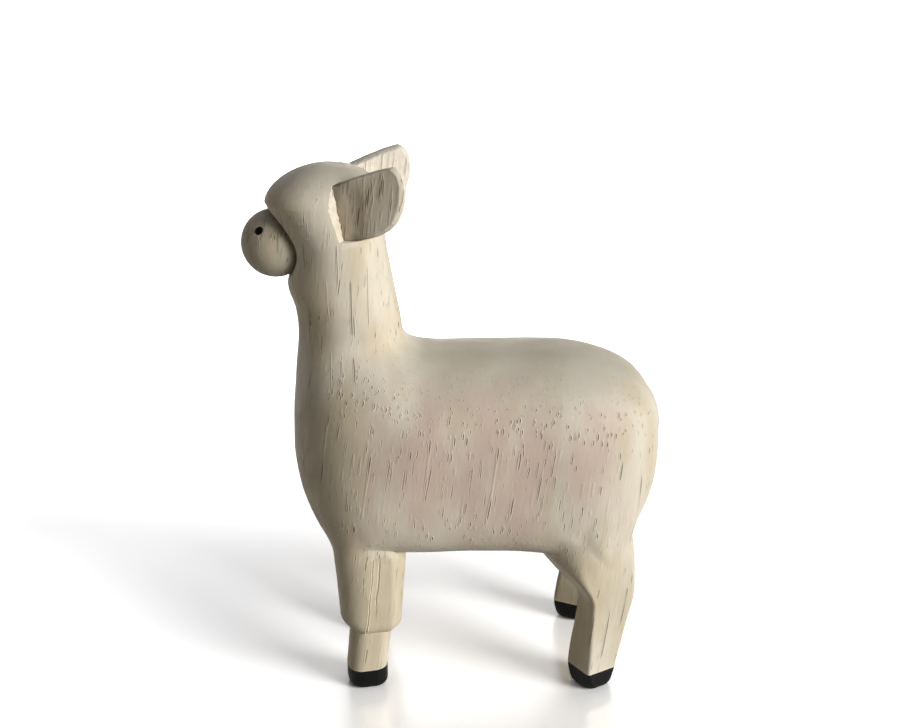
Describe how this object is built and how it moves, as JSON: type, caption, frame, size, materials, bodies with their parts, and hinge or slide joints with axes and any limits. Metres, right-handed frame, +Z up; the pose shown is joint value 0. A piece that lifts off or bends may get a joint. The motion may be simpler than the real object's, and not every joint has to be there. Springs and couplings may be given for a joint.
{
  "type": "wooden alpaca figurine",
  "caption": "Small carved wooden alpaca standing on black hooves, with a ball muzzle set in a hooded head, leaf ears and whittled legs; a shelf or desk ornament.",
  "frame": {"origin": "on the ground, under the middle of the figure's length and width", "axes": "+Z up; the alpaca faces -Y; its left side is +X"},
  "size_m": [0.0346, 0.0746, 0.0963],
  "materials": {
    "pale_wood": "whitewashed pale wood with open grain, matt",
    "dowel_wood": "bare dowel, unfinished",
    "black_paint": "black paint on wood, satin"
  },
  "bodies": {
    "root": {"torso": "pale_wood", "muzzle": "pale_wood", "muzzle_dowel": "dowel_wood", "left_eye": "black_paint", "right_eye": "black_paint", "left_ear": "pale_wood", "right_ear": "pale_wood", "left_ear_pin": "dowel_wood", "right_ear_pin": "dowel_wood", "tail": "pale_wood", "front_left_upper_leg": "pale_wood", "front_right_upper_leg": "pale_wood", "front_left_lower_leg": "pale_wood", "front_right_lower_leg": "pale_wood", "front_left_hoof": "black_paint", "front_right_hoof": "black_paint", "rear_left_leg": "pale_wood", "rear_right_leg": "pale_wood", "rear_left_dowel": "dowel_wood", "rear_right_dowel": "dowel_wood", "rear_left_hoof": "black_paint", "rear_right_hoof": "black_paint"}
  },
  "joints": []
}
